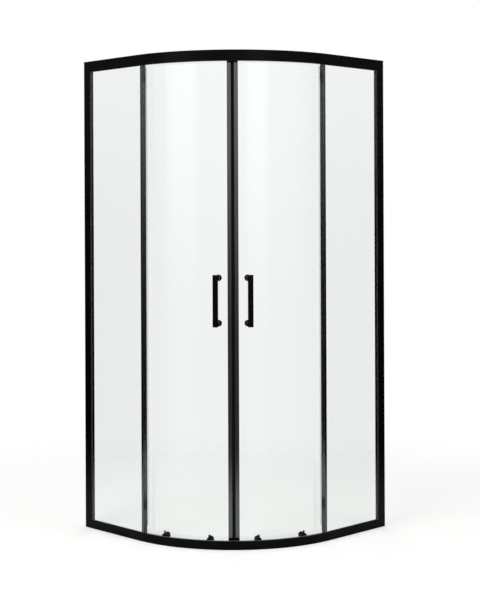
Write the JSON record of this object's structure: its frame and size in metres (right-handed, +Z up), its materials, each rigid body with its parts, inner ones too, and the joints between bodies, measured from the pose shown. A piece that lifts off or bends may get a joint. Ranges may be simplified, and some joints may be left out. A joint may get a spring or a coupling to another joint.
{
  "type": "corner shower enclosure",
  "caption": "Quarter-round corner shower enclosure: black bent rails, flat fixed panes on the straight sides and curved glass doors that roll apart round the bend.",
  "frame": {"origin": "middle of the enclosure's square footprint, on the floor", "axes": "+Z up; the room's walls are the planes at low X and high Y, and the bend with the doors faces +X and -Y"},
  "size_m": [0.89, 0.89, 1.95],
  "materials": {
    "black_powder_coat": "satin black powder coat on aluminium",
    "black_anodised": "semi-gloss black anodised aluminium",
    "clear_glass": "clear toughened glass with polished edges",
    "black_seal": "soft black PVC",
    "black_rubber": "moulded black rubber",
    "magnet_strip": "black PVC over a magnet core",
    "brush_pile": "woven base with short undyed pile",
    "black_plastic": "moulded black ABS",
    "nylon": "turned natural nylon",
    "steel": "stainless steel"
  },
  "bodies": {
    "frame": {"top_rail": "black_powder_coat", "bottom_rail": "black_powder_coat", "left_frame_post": "black_powder_coat", "right_frame_post": "black_powder_coat", "left_wall_profile": "black_powder_coat", "right_wall_profile": "black_powder_coat", "post_caps": "black_plastic", "adjusting_screws": "steel", "rail_corner_blocks": "black_plastic", "rail_corner_screws": "steel", "left_fixed_glass": "clear_glass", "right_fixed_glass": "clear_glass", "left_stile": "black_anodised", "right_stile": "black_anodised", "glazing_gaskets": "black_seal", "slot_infills": "black_seal", "brush_seals": "brush_pile", "door_stops": "black_rubber"},
    "right_door": {"right_door_glass": "clear_glass", "right_meeting_profile": "black_anodised", "right_magnetic_seal": "magnet_strip", "right_trailing_seal": "black_seal", "right_drip_seal": "black_seal", "right_handle_bar": "black_powder_coat", "right_handle_posts": "black_powder_coat", "right_glass_washers": "black_rubber", "right_handle_nuts": "black_powder_coat", "right_upper_roller_hubs": "black_plastic", "right_lower_roller_housings": "black_plastic", "right_roller_caps": "black_plastic", "right_wheel_axles": "steel", "right_leading_release_spring": "steel", "right_trailing_release_spring": "steel"},
    "right_upper_leading_wheel": {"right_upper_leading_wheel": "nylon"},
    "right_lower_leading_wheel": {"right_lower_leading_wheel": "nylon"},
    "right_leading_release_button": {"right_leading_release_button": "black_plastic"},
    "right_upper_trailing_wheel": {"right_upper_trailing_wheel": "nylon"},
    "right_lower_trailing_wheel": {"right_lower_trailing_wheel": "nylon"},
    "right_trailing_release_button": {"right_trailing_release_button": "black_plastic"},
    "left_door": {"left_door_glass": "clear_glass", "left_meeting_profile": "black_anodised", "left_magnetic_seal": "magnet_strip", "left_trailing_seal": "black_seal", "left_drip_seal": "black_seal", "left_handle_bar": "black_powder_coat", "left_handle_posts": "black_powder_coat", "left_glass_washers": "black_rubber", "left_handle_nuts": "black_powder_coat", "left_upper_roller_hubs": "black_plastic", "left_lower_roller_housings": "black_plastic", "left_roller_caps": "black_plastic", "left_wheel_axles": "steel", "left_leading_release_spring": "steel", "left_trailing_release_spring": "steel"},
    "left_upper_leading_wheel": {"left_upper_leading_wheel": "nylon"},
    "left_lower_leading_wheel": {"left_lower_leading_wheel": "nylon"},
    "left_leading_release_button": {"left_leading_release_button": "black_plastic"},
    "left_upper_trailing_wheel": {"left_upper_trailing_wheel": "nylon"},
    "left_lower_trailing_wheel": {"left_lower_trailing_wheel": "nylon"},
    "left_trailing_release_button": {"left_trailing_release_button": "black_plastic"}
  },
  "joints": [
    {"name": "right_door_roll", "type": "hinge", "parent": "frame", "child": "right_door", "pos_m": [-0.1, 0.1, 0.975], "axis": [0, 0, 1], "range_deg": [0, 24]},
    {"name": "right_upper_leading_wheel_spin", "type": "hinge", "parent": "right_door", "child": "right_upper_leading_wheel", "pos_m": [0.33514, -0.19906, 1.9308], "axis": [0.8241, -0.5664, 0], "range_deg": [-1410, 0]},
    {"name": "right_lower_leading_wheel_spin", "type": "hinge", "parent": "right_door", "child": "right_lower_leading_wheel", "pos_m": [0.33514, -0.19906, 0.0113], "axis": [0.8241, -0.5664, 0], "range_deg": [-1410, 0]},
    {"name": "right_leading_release_button_press", "type": "slide", "parent": "right_door", "child": "right_leading_release_button", "axis": [0, 0, -1], "range_m": [0, 0.0045], "stiffness_N_per_m": 300, "deforming": ["right_leading_release_spring"]},
    {"name": "right_upper_trailing_wheel_spin", "type": "hinge", "parent": "right_door", "child": "right_upper_trailing_wheel", "pos_m": [0.41447, -0.01877, 1.9308], "axis": [0.9744, -0.225, 0], "range_deg": [-1410, 0]},
    {"name": "right_lower_trailing_wheel_spin", "type": "hinge", "parent": "right_door", "child": "right_lower_trailing_wheel", "pos_m": [0.41447, -0.01877, 0.0113], "axis": [0.9744, -0.225, 0], "range_deg": [-1410, 0]},
    {"name": "right_trailing_release_button_press", "type": "slide", "parent": "right_door", "child": "right_trailing_release_button", "axis": [0, 0, -1], "range_m": [0, 0.0045], "stiffness_N_per_m": 300, "deforming": ["right_trailing_release_spring"]},
    {"name": "left_door_roll", "type": "hinge", "parent": "frame", "child": "left_door", "pos_m": [-0.1, 0.1, 0.975], "axis": [0, 0, -1], "range_deg": [0, 24]},
    {"name": "left_upper_leading_wheel_spin", "type": "hinge", "parent": "left_door", "child": "left_upper_leading_wheel", "pos_m": [0.19906, -0.33514, 1.9308], "axis": [0.5664, -0.8241, 0], "range_deg": [0, 1410]},
    {"name": "left_lower_leading_wheel_spin", "type": "hinge", "parent": "left_door", "child": "left_lower_leading_wheel", "pos_m": [0.19906, -0.33514, 0.0113], "axis": [0.5664, -0.8241, 0], "range_deg": [0, 1410]},
    {"name": "left_leading_release_button_press", "type": "slide", "parent": "left_door", "child": "left_leading_release_button", "axis": [0, 0, -1], "range_m": [0, 0.0045], "stiffness_N_per_m": 300, "deforming": ["left_leading_release_spring"]},
    {"name": "left_upper_trailing_wheel_spin", "type": "hinge", "parent": "left_door", "child": "left_upper_trailing_wheel", "pos_m": [0.01877, -0.41447, 1.9308], "axis": [0.225, -0.9744, 0], "range_deg": [0, 1410]},
    {"name": "left_lower_trailing_wheel_spin", "type": "hinge", "parent": "left_door", "child": "left_lower_trailing_wheel", "pos_m": [0.01877, -0.41447, 0.0113], "axis": [0.225, -0.9744, 0], "range_deg": [0, 1410]},
    {"name": "left_trailing_release_button_press", "type": "slide", "parent": "left_door", "child": "left_trailing_release_button", "axis": [0, 0, -1], "range_m": [0, 0.0045], "stiffness_N_per_m": 300, "deforming": ["left_trailing_release_spring"]}
  ],
  "couplings": [
    {"joint": "right_upper_leading_wheel_spin", "follows": "right_door_roll", "ratio": -58.667},
    {"joint": "right_lower_leading_wheel_spin", "follows": "right_door_roll", "ratio": -58.667},
    {"joint": "right_upper_trailing_wheel_spin", "follows": "right_door_roll", "ratio": -58.667},
    {"joint": "right_lower_trailing_wheel_spin", "follows": "right_door_roll", "ratio": -58.667},
    {"joint": "left_upper_leading_wheel_spin", "follows": "left_door_roll", "ratio": 58.667},
    {"joint": "left_lower_leading_wheel_spin", "follows": "left_door_roll", "ratio": 58.667},
    {"joint": "left_upper_trailing_wheel_spin", "follows": "left_door_roll", "ratio": 58.667},
    {"joint": "left_lower_trailing_wheel_spin", "follows": "left_door_roll", "ratio": 58.667}
  ]
}
